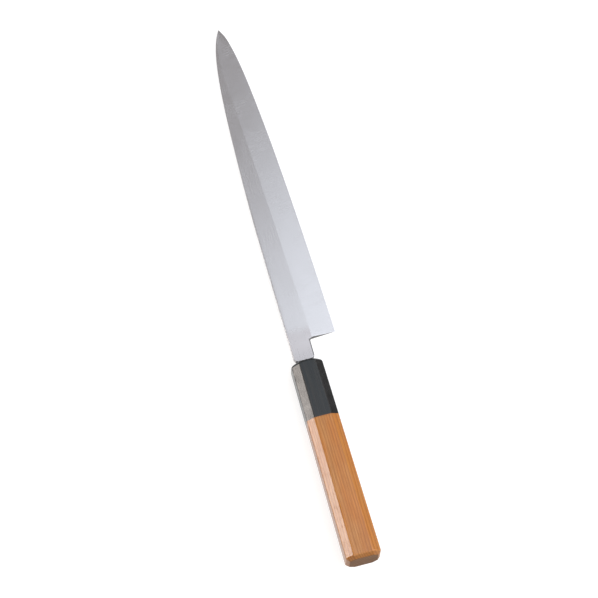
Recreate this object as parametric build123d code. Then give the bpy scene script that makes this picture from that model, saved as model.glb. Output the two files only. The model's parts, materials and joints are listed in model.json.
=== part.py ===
from build123d import *

import os
from math import asin, atan2, degrees, hypot, sqrt

# A right-handed slicing knife with a single bevel, on an octagonal handle of wood and horn.
# All sizes are in millimetres. While it is being built, the knife points along +Y,
# its cutting edge lies towards +X and its bevelled front face looks up along +Z.
# The zero point is on the handle's axis, level with the rim of its domed mouth.

# Blade outline
edge_length = 232.9
neck_length = 18.5
heel_height = 32.3
spine_offset = 7.1
neck_width = 14.2
choil_slope = 1.3
choil_radius = 1.7
shoulder_gap = 0.3
shoulder_radius = 2.5

# Blade section
spine_thickness = 3.8
edge_land = 0.15
eased_edge = 0.4
hollow_depth = 0.45
hollow_rim = 1.8
hollow_heel_gap = 4.0

# The blade at nine stations: share of the edge length from the heel, then the places of
# the spine, the bevel's ridge and the edge, as shares of the heel height below the spine
# line, and last the share of the spine thickness.
station_shares = (
    (0.000, 0.000, 0.487, 1.000, 1.00),
    (0.200, 0.000, 0.450, 0.968, 0.93),
    (0.400, 0.006, 0.407, 0.920, 0.85),
    (0.600, 0.048, 0.356, 0.855, 0.75),
    (0.750, 0.104, 0.312, 0.783, 0.64),
    (0.860, 0.180, 0.286, 0.709, 0.53),
    (0.930, 0.269, 0.314, 0.632, 0.44),
    (0.975, 0.372, 0.372, 0.550, 0.37),
    (1.000, 0.462, 0.420, 0.462, 0.33),
)
first_curved_station = 1
run_on_share = 0.6
cutter_spread_share = 0.25
hollow_depth_shares = (0.15, 1.00, 0.95, 0.85, 0.70, 0.50, 0.15)

# Tang, inside the handle
tang_width = 10.0
tang_thickness = 3.0
tang_tail_width = 6.0
tang_tail_thickness = 2.2

# Handle: an octagon that grows from the mouth to the butt
handle_length = 140.0
ferrule_length = 40.0
mouth_height = 21.0
butt_height = 23.6
mouth_thickness = 19.6
butt_thickness = 21.0
facet_width = 5.1
facet_depth = 4.0
mouth_rise = 2.8
mouth_dome_radius = 20.0
mouth_radius = 1.0
butt_chamfer = 2.4

# Joint inside the handle
mouth_wall = 8.0
dowel_diameter = 13.0
dowel_in_grip = 34.0
dowel_end_gap = 1.0
tang_past_dowel = 10.0
bedding_gap = 0.6
bedding_tail_gap = 2.0
seal_gap = 0.8
seal_recess = 1.5

# One cutter overrun serves every cut
overrun = 5.0

# Places ahead of the mouth's rim, worked out from the sizes above
shoulder_along = mouth_rise + shoulder_gap
dome_middle = mouth_rise - mouth_dome_radius

# Distances behind the mouth's rim, worked out from the sizes above
dowel_front = mouth_wall
dowel_back = ferrule_length + dowel_in_grip
tang_length = dowel_back + tang_past_dowel
bedding_back = tang_length + bedding_tail_gap

back_face_height = -spine_thickness / 2
along_shares, spine_shares, ridge_shares, edge_shares, thickness_shares = zip(*station_shares)


def line_points(across_shares):
    """Points of the spine, ridge or edge line at the stations, seen from the front."""
    return [
        (across * heel_height - spine_offset, neck_length + along * edge_length)
        for along, across in zip(along_shares, across_shares)
    ]


def face_heights():
    """Height of the front face at each station."""
    return [back_face_height + share * spine_thickness for share in thickness_shares]


def run_on(points):
    """The same points, with one more beyond each end, in line with the last two."""
    first = points[0] + (points[0] - points[1]) * run_on_share
    last = points[-1] + (points[-1] - points[-2]) * run_on_share
    return [first, *points, last]


def blade_outline():
    """Outline of blade and neck, down to the shoulders at the handle."""
    spine_points = line_points(spine_shares)[first_curved_station:]
    edge_points = line_points(edge_shares)
    neck_edge = neck_width - spine_offset
    choil_corner = (neck_edge, neck_length - choil_slope)
    edge_shoulder = (neck_edge, shoulder_along)
    spine_shoulder = (-spine_offset, shoulder_along)
    spine = Spline(*spine_points, tangents=[(0, 1), (1, 1)])
    edge = Spline(*edge_points)
    back = Polyline(edge_points[0], choil_corner, edge_shoulder, spine_shoulder, spine_points[0])
    outline = make_face([spine, edge, back])
    corners = outline.vertices()
    outline = fillet(corners.sort_by_distance((*choil_corner, 0))[0], choil_radius)
    shoulders = outline.vertices().sort_by(Axis.Y)[:2]
    return fillet(shoulders, shoulder_radius)


def eased_slab():
    """The outline at full thickness, with every rim eased but the cutting edge's own."""
    slab = Pos(0, 0, back_face_height) * extrude(blade_outline(), amount=spine_thickness)
    rims = slab.edges().filter_by(lambda rim: abs(rim.center().Z) > edge_land)
    along_edge = rims.sort_by(lambda rim: rim.center().X)[-2:]
    return fillet([rim for rim in rims if rim not in along_edge], eased_edge)


def front_face_cut():
    """What lies above the front face, which thins towards the tip."""
    places = zip(line_points(spine_shares), face_heights())
    face_line = [Vector(0, along, height) for (_, along), height in places]
    start = face_line[0]
    ahead = run_on(face_line)[-1]
    roof = Vector(0, 0, spine_thickness)
    profile = Spline(*face_line, ahead)
    closing = Polyline(start, start + roof, ahead + roof, ahead)
    cut = extrude(make_face([profile, closing]), amount=heel_height + 2 * overrun, dir=(1, 0, 0))
    return Pos(-spine_offset - overrun, 0, 0) * cut


def bevel_cut():
    """What lies above the long flat bevel, between the ridge and the cutting edge."""
    ridge_points = []
    edge_points = []
    lines = zip(line_points(ridge_shares), line_points(edge_shares), face_heights())
    for ridge_place, edge_place, height in lines:
        ridge = Vector(*ridge_place, height)
        edge = Vector(*edge_place, back_face_height + edge_land)
        spread = (edge - ridge) * cutter_spread_share
        ridge_points.append(ridge - spread)
        edge_points.append(edge + spread)
    ridge_curve = Edge.make_spline(run_on(ridge_points))
    edge_curve = Edge.make_spline(run_on(edge_points))
    bevel = Face.make_surface_from_curves(ridge_curve, edge_curve)
    return Solid.extrude(bevel, Vector(0, 0, spine_thickness))


def back_hollow_cut():
    """The shallow hollow of the back, which leaves a flat rim round it."""
    sections = []
    places = zip(line_points(spine_shares), line_points(edge_shares), hollow_depth_shares)
    below = Vector(0, 0, spine_thickness)
    for (spine_x, along), (edge_x, _), depth_share in places:
        ahead = hollow_heel_gap if not sections else 0
        start = Vector(spine_x + hollow_rim, along + ahead, back_face_height)
        end = Vector(edge_x - hollow_rim, along + ahead, back_face_height)
        crown = (start + end) / 2 + Vector(0, 0, hollow_depth * depth_share)
        arc = ThreePointArc(start, crown, end)
        closing = Polyline(end, end - below, start - below, start)
        sections.append(make_face([arc, closing]))
    return loft(sections)


def octagon_corners(distance, width, thickness, facet_across, facet_down):
    """Corners of a bar's outline at a distance behind the mouth, going round once."""
    side = width / 2
    top = thickness / 2
    return [
        Vector(side, -distance, top - facet_down),
        Vector(side - facet_across, -distance, top),
        Vector(facet_across - side, -distance, top),
        Vector(-side, -distance, top - facet_down),
        Vector(-side, -distance, facet_down - top),
        Vector(facet_across - side, -distance, -top),
        Vector(side - facet_across, -distance, -top),
        Vector(side, -distance, facet_down - top),
    ]


def bar_corners(distance, width, thickness):
    """The four corners of a rectangular bar at a distance behind the mouth."""
    return octagon_corners(distance, width, thickness, 0, 0)[::2]


def flat_sided_bar(front, back):
    """A solid with flat sides between two outlines whose corners match."""
    sides = [
        Face(Wire.make_polygon([front[i - 1], front[i], back[i], back[i - 1]]))
        for i in range(len(front))
    ]
    ends = [Face(Wire.make_polygon(front)), Face(Wire.make_polygon(back))]
    return Solid(Shell([*sides, *ends]))


def tang():
    """The tapered tail of the blade that runs into the handle."""
    root = bar_corners(-shoulder_along, tang_width, tang_thickness)
    tail = bar_corners(tang_length, tang_tail_width, tang_tail_thickness)
    return flat_sided_bar(root, tail)


def tang_room(gap, front, back):
    """The tang's own taper with a gap all round, from one distance to another."""
    outlines = []
    taper_length = tang_length + shoulder_along
    for distance in (front, back):
        share = (distance + shoulder_along) / taper_length
        width = tang_width + (tang_tail_width - tang_width) * share
        thickness = tang_thickness + (tang_tail_thickness - tang_thickness) * share
        outlines.append(bar_corners(distance, width + 2 * gap, thickness + 2 * gap))
    return flat_sided_bar(*outlines)


def handle_corners(distance):
    """Corners of the handle's octagon at a distance behind the mouth."""
    share = distance / handle_length
    height = mouth_height + (butt_height - mouth_height) * share
    thickness = mouth_thickness + (butt_thickness - mouth_thickness) * share
    return octagon_corners(distance, height, thickness, facet_width, facet_depth)


def handle_span(front, back):
    """One stretch of the octagonal handle."""
    return flat_sided_bar(handle_corners(front), handle_corners(back))


def ahead_of_mouth():
    """A block that ends in a hollow of the mouth's own dome."""
    width = 2 * (mouth_dome_radius + overrun)
    depth = mouth_dome_radius + 2 * overrun
    block = Box(width, depth, width, align=(Align.CENTER, Align.MIN, Align.CENTER))
    return Pos(0, dome_middle, 0) * (block - Sphere(mouth_dome_radius))


def dowel_body(front, back):
    """A round bar along the handle's axis, from one distance to another."""
    plane = Plane(origin=(0, -front, 0), x_dir=(1, 0, 0), z_dir=(0, -1, 0))
    return extrude(plane * Circle(dowel_diameter / 2), amount=back - front)


# Blade, neck and tang: one piece of steel
blade = eased_slab() - front_face_cut() - bevel_cut() - back_hollow_cut()
blade = blade + tang()

# Horn collar: octagonal outside, a domed mouth with a slot for the tang, a blind bore behind
ferrule = handle_span(-mouth_rise - overrun, ferrule_length) - ahead_of_mouth()
mouth_edges = ferrule.faces().sort_by(Axis.Y)[-1].edges()
ferrule = fillet(mouth_edges, mouth_radius)
seal_room = tang_room(seal_gap, -mouth_rise - overrun, dowel_front)
ferrule = ferrule - seal_room - dowel_body(dowel_front, ferrule_length + overrun)

# Wooden grip: the same octagon, a blind bore for the dowel and a pilot hole for the tang
grip = handle_span(ferrule_length, handle_length)
butt_edges = grip.faces().sort_by(Axis.Y)[0].edges()
grip = chamfer(butt_edges, butt_chamfer)
grip = grip - dowel_body(ferrule_length - overrun, dowel_back + dowel_end_gap)
bedding_room = tang_room(bedding_gap, dowel_front, bedding_back)
grip = grip - bedding_room

# Joining dowel: glued half into the horn and half into the wood, slotted for the tang
dowel = dowel_body(dowel_front, dowel_back) - bedding_room

# Resin that beds the tang in its slot
tang_bedding = bedding_room - tang()

# Resin that closes the slot at the mouth, a little below the horn
mouth_seal = tang_room(seal_gap, seal_recess - mouth_rise, dowel_front) - tang()

knife = {
    "blade": blade,
    "ferrule": ferrule,
    "grip": grip,
    "dowel": dowel,
    "tang_bedding": tang_bedding,
    "mouth_seal": mouth_seal,
}

# The knife lies on its back: on its tip and on the rounded lower edge of the ferrule
lower_slope = (butt_thickness - mouth_thickness) / 2 / handle_length
rim_along = dome_middle + sqrt(
    (mouth_dome_radius - mouth_radius) ** 2 - (mouth_thickness / 2 - mouth_radius) ** 2
)
rim_height = lower_slope * rim_along - mouth_thickness / 2 + mouth_radius * hypot(1, lower_slope)
reach = neck_length + edge_length - rim_along
rise = back_face_height - rim_height
tip_down = atan2(rise, reach) + asin(mouth_radius / hypot(rise, reach))
lying = Rot(-degrees(tip_down), 0, 0)
box = Compound([lying * piece for piece in knife.values()]).bounding_box()
on_ground = Pos(-box.center().X, -box.center().Y, -box.min.Z)

os.makedirs("parts", exist_ok=True)
for name, piece in knife.items():
    export_step(on_ground * lying * piece, f"parts/{name}.step")
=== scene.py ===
import json
from math import asin, pi, radians, sin, sqrt, tan

import bmesh
import bpy
from mathutils import Matrix, Vector


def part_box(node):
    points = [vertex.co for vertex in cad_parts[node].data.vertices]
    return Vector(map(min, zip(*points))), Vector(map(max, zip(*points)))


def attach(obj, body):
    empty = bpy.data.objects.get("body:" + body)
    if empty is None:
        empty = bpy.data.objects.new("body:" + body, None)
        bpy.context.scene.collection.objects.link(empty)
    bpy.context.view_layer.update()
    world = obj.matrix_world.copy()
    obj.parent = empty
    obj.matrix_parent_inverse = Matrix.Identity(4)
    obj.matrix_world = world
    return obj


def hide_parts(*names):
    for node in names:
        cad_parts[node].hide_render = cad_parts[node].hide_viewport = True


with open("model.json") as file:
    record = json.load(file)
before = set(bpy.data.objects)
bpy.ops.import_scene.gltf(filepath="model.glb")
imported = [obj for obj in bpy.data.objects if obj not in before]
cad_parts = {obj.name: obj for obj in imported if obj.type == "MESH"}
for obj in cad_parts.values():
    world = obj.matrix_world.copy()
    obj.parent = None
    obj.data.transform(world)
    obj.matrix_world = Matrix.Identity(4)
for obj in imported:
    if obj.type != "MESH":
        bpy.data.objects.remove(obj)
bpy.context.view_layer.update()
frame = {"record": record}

# All lengths are in metres. A piece is shaped in the knife's own frame: zero is on the
# handle's axis, level with the rim of the ferrule's domed mouth, +Y runs to the tip,
# +X to the cutting edge and +Z up from the front face.

# Blade outline
edge_length = 0.2329
neck_length = 0.0185
heel_height = 0.0323
spine_offset = 0.0071
neck_width = 0.0142
choil_slope = 0.0013
choil_radius = 0.0017
shoulder_gap = 0.0003
shoulder_radius = 0.0025
tip_rounding = 0.00013

# Blade section
spine_thickness = 0.0038
edge_land = 0.00015
eased_edge = 0.0004
hollow_depth = 0.00045
hollow_rim = 0.0018
hollow_heel_gap = 0.004
hollow_heel_length = 0.016

# The blade at nine stations: share of the edge length from the heel, then the places of the
# spine, the bevel's ridge and the edge, as shares of the heel height from the spine's line
# toward the edge, then the share of the spine thickness and the share of the hollow's depth.
station_shares = (
    (0.000, 0.000, 0.495, 1.000, 1.00, 1.00),
    (0.200, 0.000, 0.450, 0.968, 0.93, 1.00),
    (0.400, 0.006, 0.407, 0.920, 0.85, 0.95),
    (0.600, 0.048, 0.356, 0.855, 0.75, 0.85),
    (0.750, 0.104, 0.312, 0.783, 0.64, 0.70),
    (0.860, 0.180, 0.286, 0.709, 0.53, 0.50),
    (0.930, 0.269, 0.314, 0.632, 0.44, 0.15),
    (0.975, 0.372, 0.372, 0.550, 0.37, 0.00),
    (1.000, 0.462, 0.420, 0.462, 0.33, 0.00),
)
least_face_share = 0.1

# Mesh of the blade
blade_rows = 100
neck_columns = 4
bevel_columns = 7

# Tang, inside the handle
tang_width = 0.010
tang_thickness = 0.003
tang_tail_width = 0.006
tang_tail_thickness = 0.0022
tang_length = 0.084
tang_root_gap = 0.0001

# Handle
handle_length = 0.140
ferrule_length = 0.040
mouth_height = 0.0210
butt_height = 0.0236
mouth_thickness = 0.0196
butt_thickness = 0.0210
facet_width = 0.0051
facet_depth = 0.0040
mouth_rise = 0.0028
mouth_dome_radius = 0.020
mouth_radius = 0.0010
mouth_slice = 0.0011
mouth_slices = 9
butt_chamfer = 0.0024
facet_softness = 0.0003
butt_softness = 0.0005
seam_softness = 0.00006

# Hollows of the handle
slot_width = 0.0116
slot_thickness = 0.0046
slot_corner = 0.0003
mouth_wall = 0.008
bore_radius = 0.0065
bore_depth = 0.075
pilot_width = 0.0075
pilot_thickness = 0.0035
pilot_depth = 0.086

# The handle's outer skin lies beyond this distance from its axis, and its hollows within
skin_radius = 0.0078

# Steps of the rounded edges; a chamfer takes one
rim_steps = 3
corner_steps = 7
mouth_steps = 6
crease_steps = 3
bore_steps = 4
bore_rounding = 0.97

# Mesh tolerances
close = 0.00001
merging = 0.000006
inward = 0.0000025
crisp_angle = radians(28)
folded_angle = radians(4)
upright_angle = radians(60)

# Camera, in the knife's frame, for a square picture
picture_width = 598
sensor_width = 36.0
focal_pixels = 3771.44
camera_distance = 2.5
camera_tilt = radians(20.46)
camera_side_turn = radians(7.64)
camera_roll = radians(-16.56)
camera_aim = Vector((0.00800, 0.04624, 0.0))
camera_near = 0.1
camera_far = 100

# The knife lies as its record says: the butt's middle and the handle's line give the mouth.
# Sideways it takes its place from the ferrule, a hair inward, so that it stays in the CAD box.
mounts = {mount["name"]: mount for mount in frame["record"]["mounts"]}
toward_tip = -Vector(mounts["hand_grip"]["axis"])
mouth = Vector(mounts["butt_face"]["pos_m"]) + toward_tip * handle_length
mouth.x = sum(corner[0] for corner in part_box("ferrule")) / 2 - inward
tip_down = asin(-toward_tip.z)
lying = Matrix.Translation(mouth) @ Matrix.Rotation(-tip_down, 4, "X")


def evenly(first, last, steps):
    """Places from first to last, both of them included."""
    return [first + (last - first) * step / steps for step in range(steps + 1)]


def smooth_value(place, column):
    """One column of the station table at a place along the edge, smoothly joined."""
    rows = [(row[0], row[column]) for row in station_shares]
    rises = [(b[1] - a[1]) / (b[0] - a[0]) for a, b in zip(rows, rows[1:])]
    upper = next(i for i, row in enumerate(rows) if i and row[0] >= place)
    slopes = []
    for i in (upper - 1, upper):
        before = rises[max(i - 1, 0)]
        after = rises[min(i, len(rises) - 1)]
        slopes.append((before + after) / 2)
    (start, low), (end, high) = rows[upper - 1], rows[upper]
    span = end - start
    t = (place - start) / span
    rise = (high - low) * t * t * (3 - 2 * t)
    leaving = slopes[0] * span * t * (1 - t) ** 2
    arriving = slopes[1] * span * t * t * (1 - t)
    return low + rise + leaving - arriving


def finished(form, name, material, slot, *replaced):
    """Lays a shaped piece down with the knife and gives it its finish."""
    bmesh.ops.recalc_face_normals(form, faces=form.faces)
    for face in form.faces:
        face.smooth = True
    for edge in form.edges:
        if edge.calc_face_angle(0) > crisp_angle:
            edge.smooth = False
    bmesh.ops.transform(form, matrix=lying, verts=form.verts)
    mesh = bpy.data.meshes.new(name)
    form.to_mesh(mesh)
    form.free()
    mesh.materials.append(material)
    piece = bpy.data.objects.new(name, mesh)
    bpy.context.scene.collection.objects.link(piece)
    evened = piece.modifiers.new("even_shading", "WEIGHTED_NORMAL")
    evened.keep_sharp = True
    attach(piece, "root")
    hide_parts(*replaced)


def soften(form, edges, size, steps=1):
    """Rounds edges, or chamfers them when it takes one step."""
    bmesh.ops.bevel(
        form, geom=edges, offset=size, offset_type="OFFSET", affect="EDGES",
        segments=steps, profile=0.5, material=-1,
    )
    bmesh.ops.recalc_face_normals(form, faces=form.faces)


def draw_out(form, faces):
    """Extrudes faces in place and takes the old ones away; gives the new corners and faces."""
    drawn = bmesh.ops.extrude_face_region(form, geom=faces)["geom"]
    bmesh.ops.delete(form, geom=faces, context="FACES_KEEP_BOUNDARY")
    corners = [part for part in drawn if isinstance(part, bmesh.types.BMVert)]
    return corners, [part for part in drawn if isinstance(part, bmesh.types.BMFace)]


def middle_of(edge):
    """The middle of an edge."""
    return (edge.verts[0].co + edge.verts[1].co) / 2


def reach_of(edge):
    """The way from one end of an edge to the other."""
    return edge.verts[1].co - edge.verts[0].co


# The blade is shaped straight, as a slab of the heel's height and thickness, and then tapered
straight_spine = -spine_offset
straight_edge = heel_height - spine_offset
straight_ridge = station_shares[0][2] * heel_height - spine_offset
neck_edge = neck_width - spine_offset
shoulder_along = mouth_rise + shoulder_gap
choil_along = neck_length - choil_slope
back_face = -spine_thickness / 2
hollow_start = straight_spine + hollow_rim
hollow_end = straight_edge - hollow_rim
blade_columns = [
    straight_spine,
    *evenly(hollow_start, neck_edge, neck_columns),
    *evenly(straight_ridge, hollow_end, bevel_columns),
    straight_edge,
]


def blade_row_along(row, across):
    """How far along the knife a row of the straight blade lies; the first follows the choil."""
    if row:
        return neck_length + (edge_length - tip_rounding) * sin(pi / 2 * row / blade_rows)
    slope = choil_slope / (straight_edge - neck_edge)
    return choil_along + slope * max(0, across - neck_edge)


def straight_blade():
    """A slab with its neck and shoulders, its rims eased, and its tang."""
    form = bmesh.new()
    last_column = len(blade_columns) - 1
    made = bmesh.ops.create_grid(form, x_segments=last_column, y_segments=blade_rows, size=0.5)
    for corner in made["verts"]:
        across = blade_columns[round((corner.co.x + 0.5) * last_column)]
        along = blade_row_along(round((corner.co.y + 0.5) * blade_rows), across)
        corner.co = (across, along, -back_face)
    lower = bmesh.ops.extrude_face_region(form, geom=form.faces[:])["geom"]
    lower_corners = [part for part in lower if isinstance(part, bmesh.types.BMVert)]
    bmesh.ops.translate(form, vec=(0, 0, -spine_thickness), verts=lower_corners)
    bmesh.ops.recalc_face_normals(form, faces=form.faces)
    mark_ridge(form)
    draw_out_neck(form)
    rims = [edge for edge in form.edges if is_rim(edge)]
    soften(form, rims, eased_edge, rim_steps)
    draw_out_tang(form)
    return form


def mark_ridge(form):
    """Keeps the line between the flat face and the long bevel crisp."""
    for edge in form.edges:
        on_ridge = all(abs(corner.co.x - straight_ridge) < close for corner in edge.verts)
        if on_ridge and middle_of(edge).z > 0:
            edge.smooth = False


def draw_out_neck(form):
    """Pulls the neck out of the heel, then rounds the inner corner and the shoulders."""
    roots = [
        face for face in form.faces
        if all(abs(corner.co.y - choil_along) < close for corner in face.verts)
    ]
    end_corners, _ = draw_out(form, roots)
    bmesh.ops.translate(form, vec=(0, shoulder_along - choil_along, 0), verts=end_corners)
    seams = []
    for edge in form.edges:
        middle = middle_of(edge)
        inside = straight_spine + close < middle.x < neck_edge - close
        if inside and middle.y < choil_along - close and abs(reach_of(edge).x) < close:
            seams.append(edge)
    bmesh.ops.dissolve_edges(form, edges=seams, use_verts=True)
    bmesh.ops.recalc_face_normals(form, faces=form.faces)
    inner = [edge for edge in form.edges if is_upright_at(edge, neck_edge, choil_along)]
    soften(form, inner, choil_radius, corner_steps)
    shoulders = [
        edge for edge in form.edges
        if is_upright_at(edge, neck_edge, shoulder_along)
        or is_upright_at(edge, straight_spine, shoulder_along)
    ]
    soften(form, shoulders, shoulder_radius, corner_steps)


def is_upright_at(edge, across, along):
    """True for an edge that stands through the slab at one place."""
    place = middle_of(edge)
    upright = abs(reach_of(edge).z) > spine_thickness / 2
    return upright and abs(place.x - across) < close and abs(place.y - along) < close


def is_rim(edge):
    """True for the edges round the slab's two faces, but not at the cutting edge or the tip."""
    near_middle = abs(middle_of(edge).z) < spine_thickness / 3
    if near_middle or edge.calc_face_angle(0) < upright_angle:
        return False
    along = neck_length + edge_length - tip_rounding
    at_tip = all(abs(corner.co.y - along) < close for corner in edge.verts)
    at_edge = all(abs(corner.co.x - straight_edge) < close for corner in edge.verts)
    return not at_tip and not at_edge


def draw_out_tang(form):
    """Pulls the tang out of the neck's end."""
    end = [
        face for face in form.faces
        if all(abs(corner.co.y - shoulder_along) < close for corner in face.verts)
    ]
    sizes = (
        (shoulder_along - tang_root_gap, tang_width, tang_thickness),
        (-tang_length, tang_tail_width, tang_tail_thickness),
    )
    for along, width, thickness in sizes:
        corners, end = draw_out(form, end)
        wide = max(corner.co.x for corner in corners) * 2
        thick = max(corner.co.z for corner in corners) * 2
        for corner in corners:
            corner.co = (corner.co.x * width / wide, along, corner.co.z * thickness / thick)


def hollow_rise(across, along):
    """How far the back face is ground away, at a place on the straight blade."""
    start = neck_length + hollow_heel_gap
    share = (across - hollow_start) / (hollow_end - hollow_start)
    if along <= start or not 0 < share < 1:
        return 0.0
    depth = hollow_depth * smooth_value((along - neck_length) / edge_length, 5)
    from_heel_end = max(0.0, 1 - (along - start) / hollow_heel_length)
    return depth * max(0.0, 1 - (2 * share - 1) ** 2 - from_heel_end ** 2)


def tapered(point):
    """Where a point of the straight slab lies on the finished blade."""
    place = min(1.0, max(0.0, (point.y - neck_length) / edge_length))
    spine, ridge, edge = (
        smooth_value(place, column) * heel_height - spine_offset for column in (1, 2, 3)
    )
    face = back_face + smooth_value(place, 4) * spine_thickness
    shown_ridge = max(ridge, spine + (edge - spine) * least_face_share)
    if point.x <= straight_ridge:
        share = (point.x - straight_spine) / (straight_ridge - straight_spine)
        across = spine + (shown_ridge - spine) * share
    else:
        share = (point.x - straight_ridge) / (straight_edge - straight_ridge)
        across = shown_ridge + (edge - shown_ridge) * share
    land = back_face + edge_land
    bevel = land + (face - land) * (edge - across) / (edge - ridge)
    top = min(face, bevel)
    bottom = back_face + hollow_rise(point.x, point.y)
    height = bottom + (top - bottom) * (point.z - back_face) / spine_thickness
    return Vector((across, point.y, height))


def make_blade(material):
    """Blade, neck and tang as one piece of steel."""
    form = straight_blade()
    for corner in form.verts:
        corner.co = tapered(corner.co)
    bmesh.ops.remove_doubles(form, verts=form.verts, dist=merging)
    finished(form, "blade_steel", material, "blade_steel", "blade")


def octagon(distance, width, thickness, facet, depth):
    """Corners of an eight-sided outline at a distance behind the mouth, going round once."""
    side = width / 2
    top = thickness / 2
    quarter = ((side, top - depth), (side - facet, top))
    turned = [(-x, z) for x, z in reversed(quarter)]
    upper = [*quarter, *turned]
    lower = [(-x, -z) for x, z in upper]
    return [Vector((x, -distance, z)) for x, z in upper + lower]


def handle_outline(distance):
    """The handle's own octagon at a distance behind the mouth."""
    share = distance / handle_length
    height = mouth_height + (butt_height - mouth_height) * share
    thickness = mouth_thickness + (butt_thickness - mouth_thickness) * share
    return octagon(distance, height, thickness, facet_width, facet_depth)


def bore_outline(distance):
    """A regular octagon round the dowel."""
    facet = bore_radius * (1 - tan(pi / 8))
    return octagon(distance, 2 * bore_radius, 2 * bore_radius, facet, facet)


def slot_outline(distance):
    """The slot for the tang in the ferrule's wall."""
    return octagon(distance, slot_width, slot_thickness, slot_corner, slot_corner)


def pilot_outline(distance):
    """The hole for the tang's tail in the grip."""
    return octagon(distance, pilot_width, pilot_thickness, slot_corner, slot_corner)


def move_outline(corners, old_outline, new_outline):
    """Moves each corner from its place on one outline to the same place on another."""
    for corner in corners:
        nearest = min(range(len(old_outline)), key=lambda i: (corner.co - old_outline[i]).length)
        corner.co = new_outline[nearest]


def faceted_bar(front, back, rooms):
    """A bar between two outlines, with a hollow that passes through the rooms' outlines."""
    form = bmesh.new()
    made = bmesh.ops.create_circle(form, cap_ends=True, segments=len(front), radius=1)
    for corner, place in zip(made["verts"], front):
        corner.co = place
    floor = form.faces[:]
    bmesh.ops.inset_region(form, faces=floor, thickness=close, use_boundary=True)
    move_outline(floor[0].verts, front, rooms[0])
    for outer_room, inner_room in zip(rooms, rooms[1:]):
        corners, floor = draw_out(form, floor)
        move_outline(corners, outer_room, inner_room)
    rim = [edge for edge in form.edges if edge.is_boundary]
    drawn = bmesh.ops.extrude_edge_only(form, edges=rim)["geom"]
    move_outline([part for part in drawn if isinstance(part, bmesh.types.BMVert)], front, back)
    return form, floor


def from_axis(corner):
    """How far a corner is from the handle's axis."""
    return Vector((corner.co.x, corner.co.z)).length


def is_outside(edge):
    """True for an edge of the handle's outer skin, beyond the bore."""
    return all(from_axis(corner) > skin_radius for corner in edge.verts)


def rounded_bore(form):
    """Turns the eight-sided bore into a round one."""
    bore_corner = bore_radius / sin(3 * pi / 8)
    corners = [
        edge for edge in form.edges
        if abs(reach_of(edge).y) > close
        and all(abs(from_axis(corner) - bore_corner) < close for corner in edge.verts)
    ]
    soften(form, corners, bore_radius * tan(pi / 8) * bore_rounding, bore_steps)


def rim_edges(form, distance):
    """Edges of the outer skin that lie in one plane across the handle."""
    return [
        edge for edge in form.edges
        if is_outside(edge) and edge.calc_face_angle(0) > crisp_angle
        and all(abs(corner.co.y + distance) < close for corner in edge.verts)
    ]


def crease_edges(form):
    """Edges between the facets, which run along the handle and over its rounded ends."""
    return [
        edge for edge in form.edges
        if is_outside(edge) and abs(reach_of(edge).y) > close
        and edge.calc_face_angle(0) > folded_angle
    ]


def dome_mouth(form):
    """Slices the flat mouth into a fine grid, then swells it along the handle."""
    for across in (Vector((1, 0, 0)), Vector((0, 0, 1))):
        for step in range(-mouth_slices, mouth_slices + 1):
            faces = [
                face for face in form.faces
                if all(corner.co.y > -mouth_radius - close for corner in face.verts)
            ]
            edges = dict.fromkeys(edge for face in faces for edge in face.edges)
            corners = dict.fromkeys(corner for face in faces for corner in face.verts)
            bmesh.ops.bisect_plane(
                form, geom=[*faces, *edges, *corners], dist=merging,
                plane_co=across * step * mouth_slice, plane_no=across,
            )
    for corner in form.verts:
        if corner.co.y > -mouth_radius - close:
            fall = mouth_dome_radius - sqrt(mouth_dome_radius ** 2 - from_axis(corner) ** 2)
            corner.co.y += mouth_rise - fall


def make_ferrule(material):
    """Horn collar: eight flats, a domed mouth with the slot for the tang, a bore behind."""
    rooms = [
        slot_outline(0), slot_outline(mouth_wall),
        bore_outline(mouth_wall), bore_outline(ferrule_length),
    ]
    front, back = handle_outline(0), handle_outline(ferrule_length)
    form, bore_end = faceted_bar(front, back, rooms)
    bmesh.ops.delete(form, geom=bore_end, context="FACES_ONLY")
    open_edges = [edge for edge in form.edges if edge.is_boundary]
    bmesh.ops.bridge_loops(form, edges=open_edges)
    bmesh.ops.recalc_face_normals(form, faces=form.faces)
    rounded_bore(form)
    soften(form, rim_edges(form, 0), mouth_radius, mouth_steps)
    soften(form, crease_edges(form), facet_softness, crease_steps)
    soften(form, rim_edges(form, ferrule_length), seam_softness)
    dome_mouth(form)
    finished(form, "horn_ferrule", material, "horn", "ferrule")


def make_grip(material):
    """Wooden grip: the same eight flats, a chamfered butt, the dowel's bore and the pilot hole."""
    rooms = [
        bore_outline(ferrule_length), bore_outline(bore_depth),
        pilot_outline(bore_depth), pilot_outline(pilot_depth),
    ]
    front, back = handle_outline(ferrule_length), handle_outline(handle_length)
    form, _ = faceted_bar(front, back, rooms)
    open_edges = [edge for edge in form.edges if edge.is_boundary]
    bmesh.ops.contextual_create(form, geom=open_edges)
    bmesh.ops.recalc_face_normals(form, faces=form.faces)
    rounded_bore(form)
    soften(form, rim_edges(form, handle_length), butt_chamfer)
    butt_rims = [
        edge for edge in form.edges
        if is_outside(edge) and abs(reach_of(edge).y) < close
        and middle_of(edge).y < -ferrule_length - close and edge.calc_face_angle(0) > crisp_angle
    ]
    soften(form, butt_rims + crease_edges(form), butt_softness, crease_steps)
    soften(form, rim_edges(form, ferrule_length), seam_softness)
    finished(form, "wood_grip", material, "grip_wood", "grip")


def feed(tree, socket, source):
    """Links another node's output to a socket, or sets the socket's value."""
    if isinstance(source, bpy.types.NodeSocket):
        tree.links.new(source, socket)
    else:
        socket.default_value = source


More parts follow.
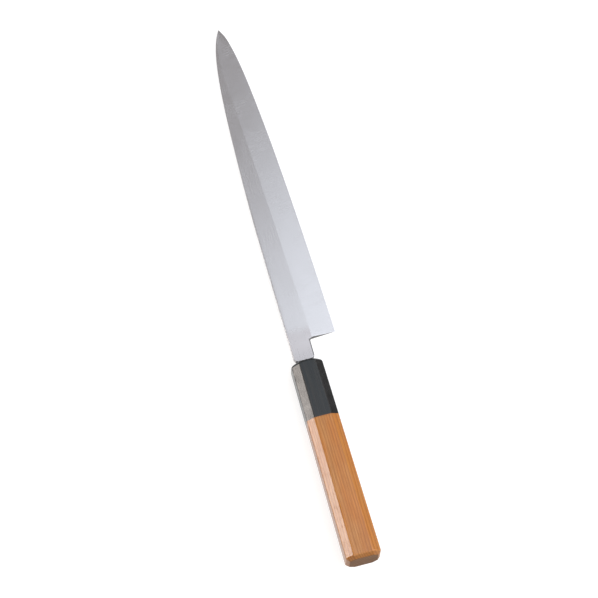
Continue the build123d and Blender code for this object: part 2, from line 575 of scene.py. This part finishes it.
def add_node(tree, kind, inputs=None, **settings):
    """A shader node with its settings, its inputs given as values or as other nodes' outputs."""
    node = tree.nodes.new("ShaderNode" + kind)
    for name, setting in settings.items():
        setattr(node, name, setting)
    for key, source in (inputs or {}).items():
        feed(tree, node.inputs[key], source)
    return node


def maths(tree, operation, *values):
    """The result of one sum on values or outputs."""
    return add_node(tree, "Math", dict(enumerate(values)), operation=operation).outputs[0]


def spread(tree, value, low, high, to_low=0.0, to_high=1.0, smooth=False):
    """A value brought from one range to another, held at its ends."""
    inputs = {
        "Value": value, "From Min": low, "From Max": high, "To Min": to_low, "To Max": to_high,
    }
    kind = "SMOOTHSTEP" if smooth else "LINEAR"
    return add_node(tree, "MapRange", inputs, interpolation_type=kind).outputs["Result"]


def blend(tree, share, first, second):
    """Two colours blended by a share."""
    inputs = {0: share, 6: first, 7: second}
    return add_node(tree, "Mix", inputs, data_type="RGBA").outputs[2]


def blend_values(tree, share, first, second):
    """Two values blended by a share."""
    return add_node(tree, "Mix", {0: share, 2: first, 3: second}).outputs[0]


def new_group(name, inputs, output):
    """An empty shader node group with float and vector inputs and one float output."""
    tree = bpy.data.node_groups.new(name, "ShaderNodeTree")
    for socket_name, value in inputs.items():
        kind = "NodeSocketVector" if value is None else "NodeSocketFloat"
        socket = tree.interface.new_socket(socket_name, in_out="INPUT", socket_type=kind)
        if value is not None:
            socket.default_value = value
    tree.interface.new_socket(output, in_out="OUTPUT", socket_type="NodeSocketFloat")
    start = tree.nodes.new("NodeGroupInput").outputs
    end = tree.nodes.new("NodeGroupOutput").inputs
    return tree, start, end


def place_group(tree, group, inputs):
    """One use of a group in a material, with its own values."""
    return add_node(tree, "Group", inputs, node_tree=group).outputs


# A grain's size is given across and along, and some have their detail too. A span is a part
# of a noise's range, or of the knife's length, that a value is spread over.
noise_span = (0.3, 0.7)
cloud_span = (0.36, 0.66)
wear_patches = (0.004, 0.011)
wear_patch_span = (0.35, 0.65)
least_wear = 0.35


def make_long_grain():
    """Grain that is drawn out along the knife: fine across, long along."""
    inputs = {"Place": None, "Across": 0.001, "Along": 0.02, "Detail": 2.0}
    tree, start, end = new_group("long_grain", inputs, "Grain")
    axes = add_node(tree, "SeparateXYZ", {"Vector": start["Place"]}).outputs
    across_x = maths(tree, "DIVIDE", axes["X"], start["Across"])
    along_y = maths(tree, "DIVIDE", axes["Y"], start["Along"])
    across_z = maths(tree, "DIVIDE", axes["Z"], start["Across"])
    drawn = add_node(tree, "CombineXYZ", {"X": across_x, "Y": along_y, "Z": across_z})
    noise_inputs = {
        "Vector": drawn.outputs[0], "Scale": 1.0, "Detail": start["Detail"], "Roughness": 0.55,
    }
    noise = add_node(tree, "TexNoise", noise_inputs)
    tree.links.new(noise.outputs["Fac"], end["Grain"])
    return tree


def make_handling():
    """Soft, cloudy marks that handling leaves on a finish, from none to full."""
    tree, start, end = new_group("handling", {"Place": None, "Size": 0.012}, "Marks")
    sizes = add_node(tree, "CombineXYZ", {axis: start["Size"] for axis in "XYZ"}).outputs[0]
    scaled = add_node(tree, "VectorMath", {0: start["Place"], 1: sizes}, operation="DIVIDE")
    noise_inputs = {"Vector": scaled.outputs[0], "Scale": 1.0, "Detail": 3.0, "Distortion": 0.6}
    noise = add_node(tree, "TexNoise", noise_inputs)
    marks = spread(tree, noise.outputs["Fac"], *cloud_span, smooth=True)
    tree.links.new(marks, end["Marks"])
    return tree


def make_facet_wear():
    """Rubbed edges between the handle's facets, strongest on the edge itself."""
    tree, start, end = new_group("facet_wear", {"Place": None, "Reach": 0.0012}, "Wear")
    axes = add_node(tree, "SeparateXYZ", {"Vector": start["Place"]}).outputs
    across = maths(tree, "ABSOLUTE", axes["X"])
    height = maths(tree, "ABSOLUTE", axes["Z"])
    side_growth = (mouth_height - butt_height) / 2 / handle_length
    top_growth = (mouth_thickness - butt_thickness) / 2 / handle_length
    side = maths(tree, "MULTIPLY_ADD", axes["Y"], side_growth, mouth_height / 2)
    top = maths(tree, "MULTIPLY_ADD", axes["Y"], top_growth, mouth_thickness / 2)
    from_side = maths(tree, "SUBTRACT", across, side)
    from_top = maths(tree, "SUBTRACT", height, top)
    gaps = []
    for gap_x, gap_z in (
        (maths(tree, "ADD", from_side, facet_width), from_top),
        (from_side, maths(tree, "ADD", from_top, facet_depth)),
    ):
        gap = add_node(tree, "CombineXYZ", {"X": gap_x, "Z": gap_z}).outputs[0]
        length = add_node(tree, "VectorMath", {0: gap}, operation="LENGTH")
        gaps.append(length.outputs["Value"])
    nearest = maths(tree, "MINIMUM", *gaps)
    edge = spread(tree, nearest, 0.0, start["Reach"], 1.0, 0.0, smooth=True)
    patches = grain(tree, start["Place"], *wear_patches)
    broken = spread(tree, patches, *wear_patch_span, to_low=least_wear)
    tree.links.new(maths(tree, "MULTIPLY", edge, broken), end["Wear"])
    return tree


def new_material(name):
    """A material with its shader, and the surface's place and facing in the knife's frame."""
    material = bpy.data.materials.new(name)
    material.use_nodes = True
    tree = material.node_tree
    shader = tree.nodes["Principled BSDF"]
    source = add_node(tree, "TexCoord").outputs
    place = add_node(tree, "Mapping", {
        "Vector": source["Object"], "Location": mouth, "Rotation": (-tip_down, 0, 0),
    }, vector_type="TEXTURE").outputs[0]
    facing = add_node(tree, "Mapping", {
        "Vector": source["Normal"], "Rotation": (-tip_down, 0, 0),
    }, vector_type="TEXTURE").outputs[0]
    return material, tree, shader, place, facing


def connect(tree, shader, **sources):
    """Links or sets the shader's sockets, named with underscores for spaces."""
    for key, source in sources.items():
        feed(tree, shader.inputs[key.replace("_", " ")], source)


def relief(tree, height, depth):
    """A bumped normal from a height of nought to one, a given depth in metres."""
    return add_node(tree, "Bump", {"Height": height, "Distance": depth}).outputs["Normal"]


def grain(tree, place, across, along, detail=2.0):
    """The long grain at one size."""
    inputs = {"Place": place, "Across": across, "Along": along, "Detail": detail}
    return place_group(tree, long_grain, inputs)["Grain"]


def handling_marks(tree, place, size):
    """The handling clouds at one size."""
    return place_group(tree, handling, {"Place": place, "Size": size})["Marks"]


def crease_wear(tree, place, reach):
    """The rubbed creases, as wide as a reach to either side."""
    return place_group(tree, facet_wear, {"Place": place, "Reach": reach})["Wear"]


# Ground steel: the flat face is ground along, the bevel across
face_hairlines = (0.00022, 0.03)
face_streaks = (0.0022, 0.09)
bevel_hairlines = (0.00025, 0.012)
bevel_streaks = (0.003, 0.03)
bevel_grinding = radians(76)
bevel_lean = (0.06, 0.12)
steel_clouds = 0.02
polished_colours = ((0.630, 0.632, 0.640, 1), (0.655, 0.657, 0.665, 1))
plain_colours = ((0.575, 0.560, 0.562, 1), (0.600, 0.585, 0.588, 1))
steel_roughness = (0.20, 0.26)
steel_cloud_roughness = 0.03
plain_roughness = 0.05
painted_shade_roughness = 0.15
steel_relief = 0.0000007

# The neck's plain finish ends in a wave, and it is tarnished near the mouth
neck_wave = (0.005, 0.02)
neck_wave_reach = 0.003
plain_span = (0.0215, 0.0300)
tarnish_span = (0.0, 0.014)
tarnish_strength = 0.62
tarnish_colour = (0.42, 0.41, 0.41, 1)

# Painted shade on the steel: the choil's wall, and a line along the neck's edge, are coloured dark
# for the shaded floor that they mirror. The line has the distances from the edge where it begins
# and is full, and from the choil where it fades.
painted_shade_colour = (0.10, 0.097, 0.094, 1)
wall_upright = (0.85, 0.97)
wall_backward = (0.2, 0.45)
wall_span = (0.0190, 0.0195)
line_from_edge = (0.00085, 0.00058)
line_from_choil = (0.0006, 0.0003)
line_strength = 0.8


def steel_material():
    """Ground and polished steel: hairlines along the flat face and across the long bevel."""
    material, tree, shader, place, facing = new_material("ground_steel")
    axes = add_node(tree, "SeparateXYZ", {"Vector": place}).outputs
    lean = add_node(tree, "SeparateXYZ", {"Vector": facing}).outputs
    on_bevel = spread(tree, lean["X"], *bevel_lean, smooth=True)
    ground_along = add_node(tree, "Mapping", {"Vector": place, "Scale": (1, 1, 0)}).outputs[0]
    ground_across = add_node(tree, "Mapping", {
        "Vector": ground_along, "Rotation": (0, 0, bevel_grinding),
    }).outputs[0]
    along_lines = grain(tree, ground_along, *face_hairlines)
    cross_lines = grain(tree, ground_across, *bevel_hairlines)
    hairlines = blend_values(tree, on_bevel, along_lines, cross_lines)
    broad_along = grain(tree, ground_along, *face_streaks)
    broad_cross = grain(tree, ground_across, *bevel_streaks)
    streaks = blend_values(tree, on_bevel, broad_along, broad_cross)
    clouds = handling_marks(tree, place, steel_clouds)
    wave = grain(tree, place, *neck_wave)
    waving = maths(tree, "MULTIPLY_ADD", wave, neck_wave_reach, axes["Y"])
    near_neck = spread(tree, waving, *plain_span, 1.0, 0.0, smooth=True)
    on_neck = maths(tree, "MULTIPLY", near_neck, maths(tree, "SUBTRACT", 1.0, on_bevel))
    polished = blend(tree, streaks, *polished_colours)
    plain = blend(tree, clouds, *plain_colours)
    ground = blend(tree, on_neck, polished, plain)
    near_mouth = spread(tree, axes["Y"], *tarnish_span, tarnish_strength, 0.0)
    tarnished = blend(tree, near_mouth, ground, tarnish_colour)
    upright = spread(tree, lean["Z"], *wall_upright, 1.0, 0.0)
    backward = spread(tree, maths(tree, "SUBTRACT", lean["X"], lean["Y"]), *wall_backward)
    heelward = spread(tree, axes["Y"], *wall_span, 1.0, 0.0)
    wall = maths(tree, "MULTIPLY", maths(tree, "MULTIPLY", upright, backward), heelward)
    at_edge = spread(tree, axes["X"], *(neck_edge - gap for gap in line_from_edge))
    line_end = [choil_along - gap for gap in line_from_choil]
    before_choil = spread(tree, axes["Y"], *line_end, line_strength, 0.0)
    # Painted shade: the choil's wall and the line along the neck's edge turn dark and a little
    # rougher
    painted_shade = maths(tree, "MAXIMUM", wall, maths(tree, "MULTIPLY", at_edge, before_choil))
    colour = blend(tree, painted_shade, tarnished, painted_shade_colour)
    smoothness = spread(tree, hairlines, *noise_span, *steel_roughness)
    clouded = maths(tree, "MULTIPLY_ADD", clouds, steel_cloud_roughness, smoothness)
    worn = maths(tree, "MULTIPLY_ADD", on_neck, plain_roughness, clouded)
    roughness = maths(tree, "MULTIPLY_ADD", painted_shade, painted_shade_roughness, worn)
    normal = relief(tree, hairlines, steel_relief)
    connect(
        tree, shader, Base_Color=colour, Metallic=1.0, Roughness=roughness, Normal=normal,
    )
    return material


# Dark horn
horn_streaks = (0.0016, 0.05, 4.0)
horn_streak_span = (0.42, 0.72)
horn_colours = ((0.0102, 0.0150, 0.0168, 1), (0.0215, 0.0228, 0.0220, 1))
horn_fibres = (0.00035, 0.014)
horn_fibre_span = (0.35, 0.75)
horn_fibre_strength = 0.5
horn_fibre_colour = (0.012, 0.012, 0.012, 1)
# Painted shade: the facet on the edge's side is coloured near black, from its crease outward
horn_edge_crease = mouth_height / 2 - facet_width
horn_shade_fade = 0.0006
horn_painted_shade_colour = (0.0018, 0.0018, 0.0018, 1)
horn_wear_reach = 0.0011
horn_wear_strength = 0.35
horn_worn_colour = (0.045, 0.040, 0.034, 1)
horn_clouds = 0.009
horn_roughness = (0.19, 0.26)
horn_cloud_roughness = 0.05
horn_wear_roughness = 0.04
horn_relief = 0.000006
horn_refraction = 1.47


def horn_material():
    """Polished dark horn: streaked grey and brown along it; painted shade blackens the edge's
    side.
    """
    material, tree, shader, place, _ = new_material("dark_horn")
    streaks = grain(tree, place, *horn_streaks)
    fibres = grain(tree, place, *horn_fibres)
    clouds = handling_marks(tree, place, horn_clouds)
    wear = crease_wear(tree, place, horn_wear_reach)
    streaked = spread(tree, streaks, *horn_streak_span, smooth=True)
    body = blend(tree, streaked, *horn_colours)
    fibrous = spread(tree, fibres, *horn_fibre_span, 0.0, horn_fibre_strength)
    grained = blend(tree, fibrous, body, horn_fibre_colour)
    across = add_node(tree, "SeparateXYZ", {"Vector": place}).outputs["X"]
    # Painted shade on the facet beyond the crease on the edge's side
    shaded_side = spread(tree, across, horn_edge_crease, horn_edge_crease + horn_shade_fade)
    side_shaded = blend(tree, shaded_side, grained, horn_painted_shade_colour)
    worn_share = maths(tree, "MULTIPLY", wear, horn_wear_strength)
    colour = blend(tree, worn_share, side_shaded, horn_worn_colour)
    gloss = spread(tree, fibres, *noise_span, *horn_roughness)
    handled = maths(tree, "MULTIPLY_ADD", clouds, horn_cloud_roughness, gloss)
    roughness = maths(tree, "MULTIPLY_ADD", wear, horn_wear_roughness, handled)
    normal = relief(tree, fibres, horn_relief)
    connect(
        tree, shader, Base_Color=colour, Roughness=roughness, Normal=normal, IOR=horn_refraction,
    )
    return material


# Growth rings: their heart lies outside the handle, on the spine's side and below
ring_heart = (-0.12, 0.0, -0.05)
ring_spacing = 0.00165
ring_wobble = (0.014, 0.16)
ring_wobble_reach = 0.0040
ring_ripple = (0.003, 0.05)
ring_ripple_reach = 0.0007
late_growth = 3.0
ring_fall = 0.90
ring_tones = (0.70, 1.0)


def ring_pattern(tree, place):
    """Growth rings round a heart beside the handle: a ring's darkness, and its own tone."""
    wobble = grain(tree, place, *ring_wobble)
    ripple = grain(tree, place, *ring_ripple)
    from_heart = add_node(tree, "VectorMath", {0: place, 1: ring_heart}, operation="SUBTRACT")
    flat_inputs = {0: from_heart.outputs[0], 1: (1.0, 0.0, 1.0)}
    flat = add_node(tree, "VectorMath", flat_inputs, operation="MULTIPLY").outputs[0]
    radius = add_node(tree, "VectorMath", {0: flat}, operation="LENGTH").outputs["Value"]
    wandering = maths(tree, "MULTIPLY_ADD", wobble, ring_wobble_reach, radius)
    rippled = maths(tree, "MULTIPLY_ADD", ripple, ring_ripple_reach, wandering)
    rings = maths(tree, "DIVIDE", rippled, ring_spacing)
    within = maths(tree, "FRACT", rings)
    late = maths(tree, "POWER", within, late_growth)
    fall = spread(tree, within, ring_fall, 1.0, 1.0, 0.0, smooth=True)
    number = maths(tree, "FLOOR", rings)
    tone = add_node(tree, "TexWhiteNoise", {"W": number}, noise_dimensions="1D").outputs["Value"]
    return maths(tree, "MULTIPLY", late, fall), tone


# Wood
wood_fibres = (0.00028, 0.012, 3.0)
wood_fibre_span = (0.34, 0.66)
wood_fibre_strength = 0.46
wood_strands = (0.0011, 0.04, 2.0)
wood_strand_span = (0.4, 0.7)
wood_strand_strength = 0.22
wood_pores = (0.00022, 0.0034)
wood_pore_span = (0.60, 0.70)
wood_pore_strength = 0.45
wood_pore_depth = -0.8
wood_patches = (0.009, 0.045)
wood_patch_span = (0.38, 0.62)
wood_wear_reach = 0.0013
wood_wear_strength = 0.25
wood_clouds = 0.014
seam_shade_width = 0.0009
seam_shade_strength = 0.55
end_facing = (0.55, 0.97)
end_fibre_strength = 0.5
end_ring_strength = 0.7
end_cloud_strength = 0.35
wood_roughness = (0.19, 0.26)
wood_cloud_roughness = 0.02
wood_wear_roughness = -0.04
end_roughness = 0.45
wood_relief = 0.000014
wood_refraction = 1.5
grip_colours = {
    "pale": (0.475, 0.213, 0.052, 1),
    "dark": (0.195, 0.060, 0.009, 1),
    "warm": (0.488, 0.178, 0.027, 1),
    "end_pale": (0.185, 0.077, 0.014, 1),
    "end_dark": (0.068, 0.025, 0.0045, 1),
}
dowel_colours = {
    "pale": (0.70, 0.50, 0.28, 1),
    "dark": (0.52, 0.34, 0.17, 1),
    "warm": (0.68, 0.47, 0.27, 1),
    "end_pale": (0.52, 0.37, 0.21, 1),
    "end_dark": (0.34, 0.23, 0.13, 1),
}


def wood_material(name, pale, dark, warm, end_pale, end_dark):
    """Straight-grained wood, cut from a log: its rings run right through the piece."""
    material, tree, shader, place, facing = new_material(name)
    ring, tone = ring_pattern(tree, place)
    fibres = grain(tree, place, *wood_fibres)
    strands = grain(tree, place, *wood_strands)
    pores = spread(tree, grain(tree, place, *wood_pores), *wood_pore_span, smooth=True)
    patches = grain(tree, place, *wood_patches)
    wear = crease_wear(tree, place, wood_wear_reach)
    clouds = handling_marks(tree, place, wood_clouds)
    darkness = maths(tree, "MULTIPLY", ring, spread(tree, tone, 0.0, 1.0, *ring_tones))
    fine = spread(tree, fibres, *wood_fibre_span, 0.0, wood_fibre_strength)
    body = blend(tree, spread(tree, patches, *wood_patch_span), pale, warm)
    ringed = blend(tree, darkness, body, dark)
    stranding = spread(tree, strands, *wood_strand_span, 0.0, wood_strand_strength)
    stranded = blend(tree, stranding, ringed, dark)
    fibred = blend(tree, fine, stranded, dark)
    pored = blend(tree, maths(tree, "MULTIPLY", pores, wood_pore_strength), fibred, dark)
    rubbed = blend(tree, maths(tree, "MULTIPLY", wear, wood_wear_strength), pored, pale)
    along = add_node(tree, "SeparateXYZ", {"Vector": place}).outputs["Y"]
    seam_start = -ferrule_length - seam_shade_width
    seam = spread(tree, along, seam_start, -ferrule_length, 0.0, seam_shade_strength)
    side = blend(tree, seam, rubbed, dark)
    buttward = add_node(tree, "SeparateXYZ", {"Vector": facing}).outputs["Y"]
    end_share = spread(tree, maths(tree, "ABSOLUTE", buttward), *end_facing)
    end_rings = maths(tree, "MULTIPLY", darkness, end_ring_strength)
    end_shade = maths(tree, "MULTIPLY_ADD", fibres, end_fibre_strength, end_rings)
    end_grain = blend(tree, end_shade, end_pale, end_dark)
    end_clouds = maths(tree, "MULTIPLY", clouds, end_cloud_strength)
    end_face = blend(tree, end_clouds, end_grain, end_dark)
    colour = blend(tree, end_share, side, end_face)
    satin = spread(tree, fibres, *noise_span, *wood_roughness)
    handled = maths(tree, "MULTIPLY_ADD", clouds, wood_cloud_roughness, satin)
    dull_end = maths(tree, "MULTIPLY_ADD", end_share, end_roughness, handled)
    roughness = maths(tree, "MULTIPLY_ADD", wear, wood_wear_roughness, dull_end)
    height = maths(tree, "MULTIPLY_ADD", pores, wood_pore_depth, fibres)
    normal = relief(tree, height, wood_relief)
    connect(
        tree, shader, Base_Color=colour, Roughness=roughness, Normal=normal, IOR=wood_refraction,
    )
    return material


# Resin
resin_clouds = 0.004
resin_colours = ((0.020, 0.014, 0.010, 1), (0.045, 0.032, 0.022, 1))
resin_roughness = (0.32, 0.46)
resin_relief = 0.00003
resin_refraction = 1.5


def resin_material():
    """Dark resin with a faint cloudiness."""
    material, tree, shader, place, _ = new_material("dark_resin")
    clouds = handling_marks(tree, place, resin_clouds)
    colour = blend(tree, clouds, *resin_colours)
    roughness = spread(tree, clouds, 0.0, 1.0, *resin_roughness)
    normal = relief(tree, clouds, resin_relief)
    connect(
        tree, shader, Base_Color=colour, Roughness=roughness, Normal=normal, IOR=resin_refraction,
    )
    return material


def dress_node(name, material):
    """Gives a CAD piece that stays as it is its finish."""
    piece = bpy.data.objects[name]
    if not piece.material_slots:
        piece.data.materials.append(material)
    for material_slot in piece.material_slots:
        material_slot.material = material


# Floor and sky
floor_size = 40.0
floor_colour = (0.42, 0.42, 0.42, 1)
floor_glow = (0.72, 0.72, 0.72, 1)
sky_low = (0.36, 0.34, 0.34, 1)
sky_high = (0.42, 0.395, 0.395, 1)

# Lamps that shine straight down: name, place, width, length and radiance
overhead_lamps = (
    ("flat_face_box", (0.29, -0.275, 1.2), 0.42, 1.75, 0.80),
    ("bevel_box", (0.95, -0.16, 1.2), 0.9, 1.75, 0.83),
    ("handle_box", (0.15, 0.12, 1.19), 0.5, 0.34, 1.06),
)
overhead_tint = (0.84, 0.90, 1.0)

# Lamps that face the handle's middle: name, direction and distance from there, width, length,
# radiance and tint
handle_lamps = (
    ("spine_strip", (-0.890, 0.292, 0.345), 1.2, 0.38, 0.3, 11.2, (1.0, 0.91, 0.85)),
    ("edge_fill", (0.84, -0.2, 0.5), 1.6, 1.2, 1.0, 4.9, (0.96, 0.98, 1.03)),
    ("rear_fill", (-0.2, -0.72, 0.66), 1.6, 1.2, 1.0, 2.0, (1.0, 0.93, 0.83)),
)
handle_middle = Vector((0, -0.07, 0))

# Watts that a lamp of one square metre needs for a radiance of one
radiance_watts = 4


def make_floor():
    """A plain pale floor that keeps the knife's shadow."""
    form = bmesh.new()
    bmesh.ops.create_grid(form, x_segments=1, y_segments=1, size=floor_size / 2)
    mesh = bpy.data.meshes.new("floor")
    form.to_mesh(mesh)
    form.free()
    floor = bpy.data.objects.new("floor", mesh)
    bpy.context.scene.collection.objects.link(floor)
    material = bpy.data.materials.new("pale_floor")
    material.use_nodes = True
    tree = material.node_tree
    shader = tree.nodes["Principled BSDF"]
    ray = add_node(tree, "LightPath").outputs
    mirrored = maths(tree, "MAXIMUM", ray["Is Glossy Ray"], ray["Is Transmission Ray"])
    seen = maths(tree, "MAXIMUM", ray["Is Camera Ray"], mirrored)
    glow = blend(tree, seen, (0, 0, 0, 1), floor_glow)
    connect(
        tree, shader, Base_Color=floor_colour, Roughness=1.0, Emission_Color=glow,
        Emission_Strength=1.0, Specular_IOR_Level=0.0,
    )
    mesh.materials.append(material)


def make_world():
    """Even grey studio walls, a little lighter overhead."""
    world = bpy.data.worlds.new("studio")
    bpy.context.scene.world = world
    world.use_nodes = True
    tree = world.node_tree
    direction = add_node(tree, "TexCoord").outputs["Generated"]
    up = add_node(tree, "SeparateXYZ", {"Vector": direction}).outputs["Z"]
    colour = blend(tree, spread(tree, up, 0.0, 1.0), sky_low, sky_high)
    tree.links.new(colour, tree.nodes["Background"].inputs["Color"])


def soft_box(name, place, aim, width, length, radiance, tint):
    """A rectangular lamp at a place in the knife's frame, facing another, of a given radiance."""
    light = bpy.data.lights.new(name, "AREA")
    light.shape = "RECTANGLE"
    light.size = width
    light.size_y = length
    light.energy = radiance * radiance_watts * width * length
    light.color = tint
    lamp = bpy.data.objects.new(name, light)
    bpy.context.scene.collection.objects.link(lamp)
    facing = (aim - place).to_track_quat("-Z", "Y").to_matrix().to_4x4()
    lamp.matrix_world = lying @ Matrix.Translation(place) @ facing
    lamp.visible_camera = False


def make_lights():
    """Cool boxes overhead, a warm strip low on the spine side, and two soft fills."""
    for name, place, width, length, radiance in overhead_lamps:
        over = Vector(place)
        below = over + Vector((0, 0, -1))
        soft_box(name, over, below, width, length, radiance, overhead_tint)
    for name, direction, distance, width, length, radiance, tint in handle_lamps:
        place = handle_middle + distance * Vector(direction)
        soft_box(name, place, handle_middle, width, length, radiance, tint)


def make_camera():
    """The photo's camera, as fitted to the knife's outline."""
    camera = bpy.data.cameras.new("camera")
    camera.sensor_width = sensor_width
    camera.lens = focal_pixels * sensor_width / picture_width
    camera.clip_start = camera_near
    camera.clip_end = camera_far
    stand = bpy.data.objects.new("camera", camera)
    bpy.context.scene.collection.objects.link(stand)
    stand.matrix_world = (
        lying @ Matrix.Translation(camera_aim)
        @ Matrix.Rotation(-camera_side_turn, 4, "Y")
        @ Matrix.Rotation(camera_tilt, 4, "X")
        @ Matrix.Rotation(camera_roll, 4, "Z")
        @ Matrix.Translation((0, 0, camera_distance))
    )
    bpy.context.scene.camera = stand


long_grain = make_long_grain()
handling = make_handling()
facet_wear = make_facet_wear()

make_blade(steel_material())
make_ferrule(horn_material())
make_grip(wood_material("grip_wood", **grip_colours))
dress_node("dowel", wood_material("dowel_wood", **dowel_colours))
resin = resin_material()
for bed in ("tang_bedding", "mouth_seal"):
    dress_node(bed, resin)

make_floor()
make_world()
make_lights()
make_camera()
bpy.context.scene.view_settings.view_transform = "Standard"
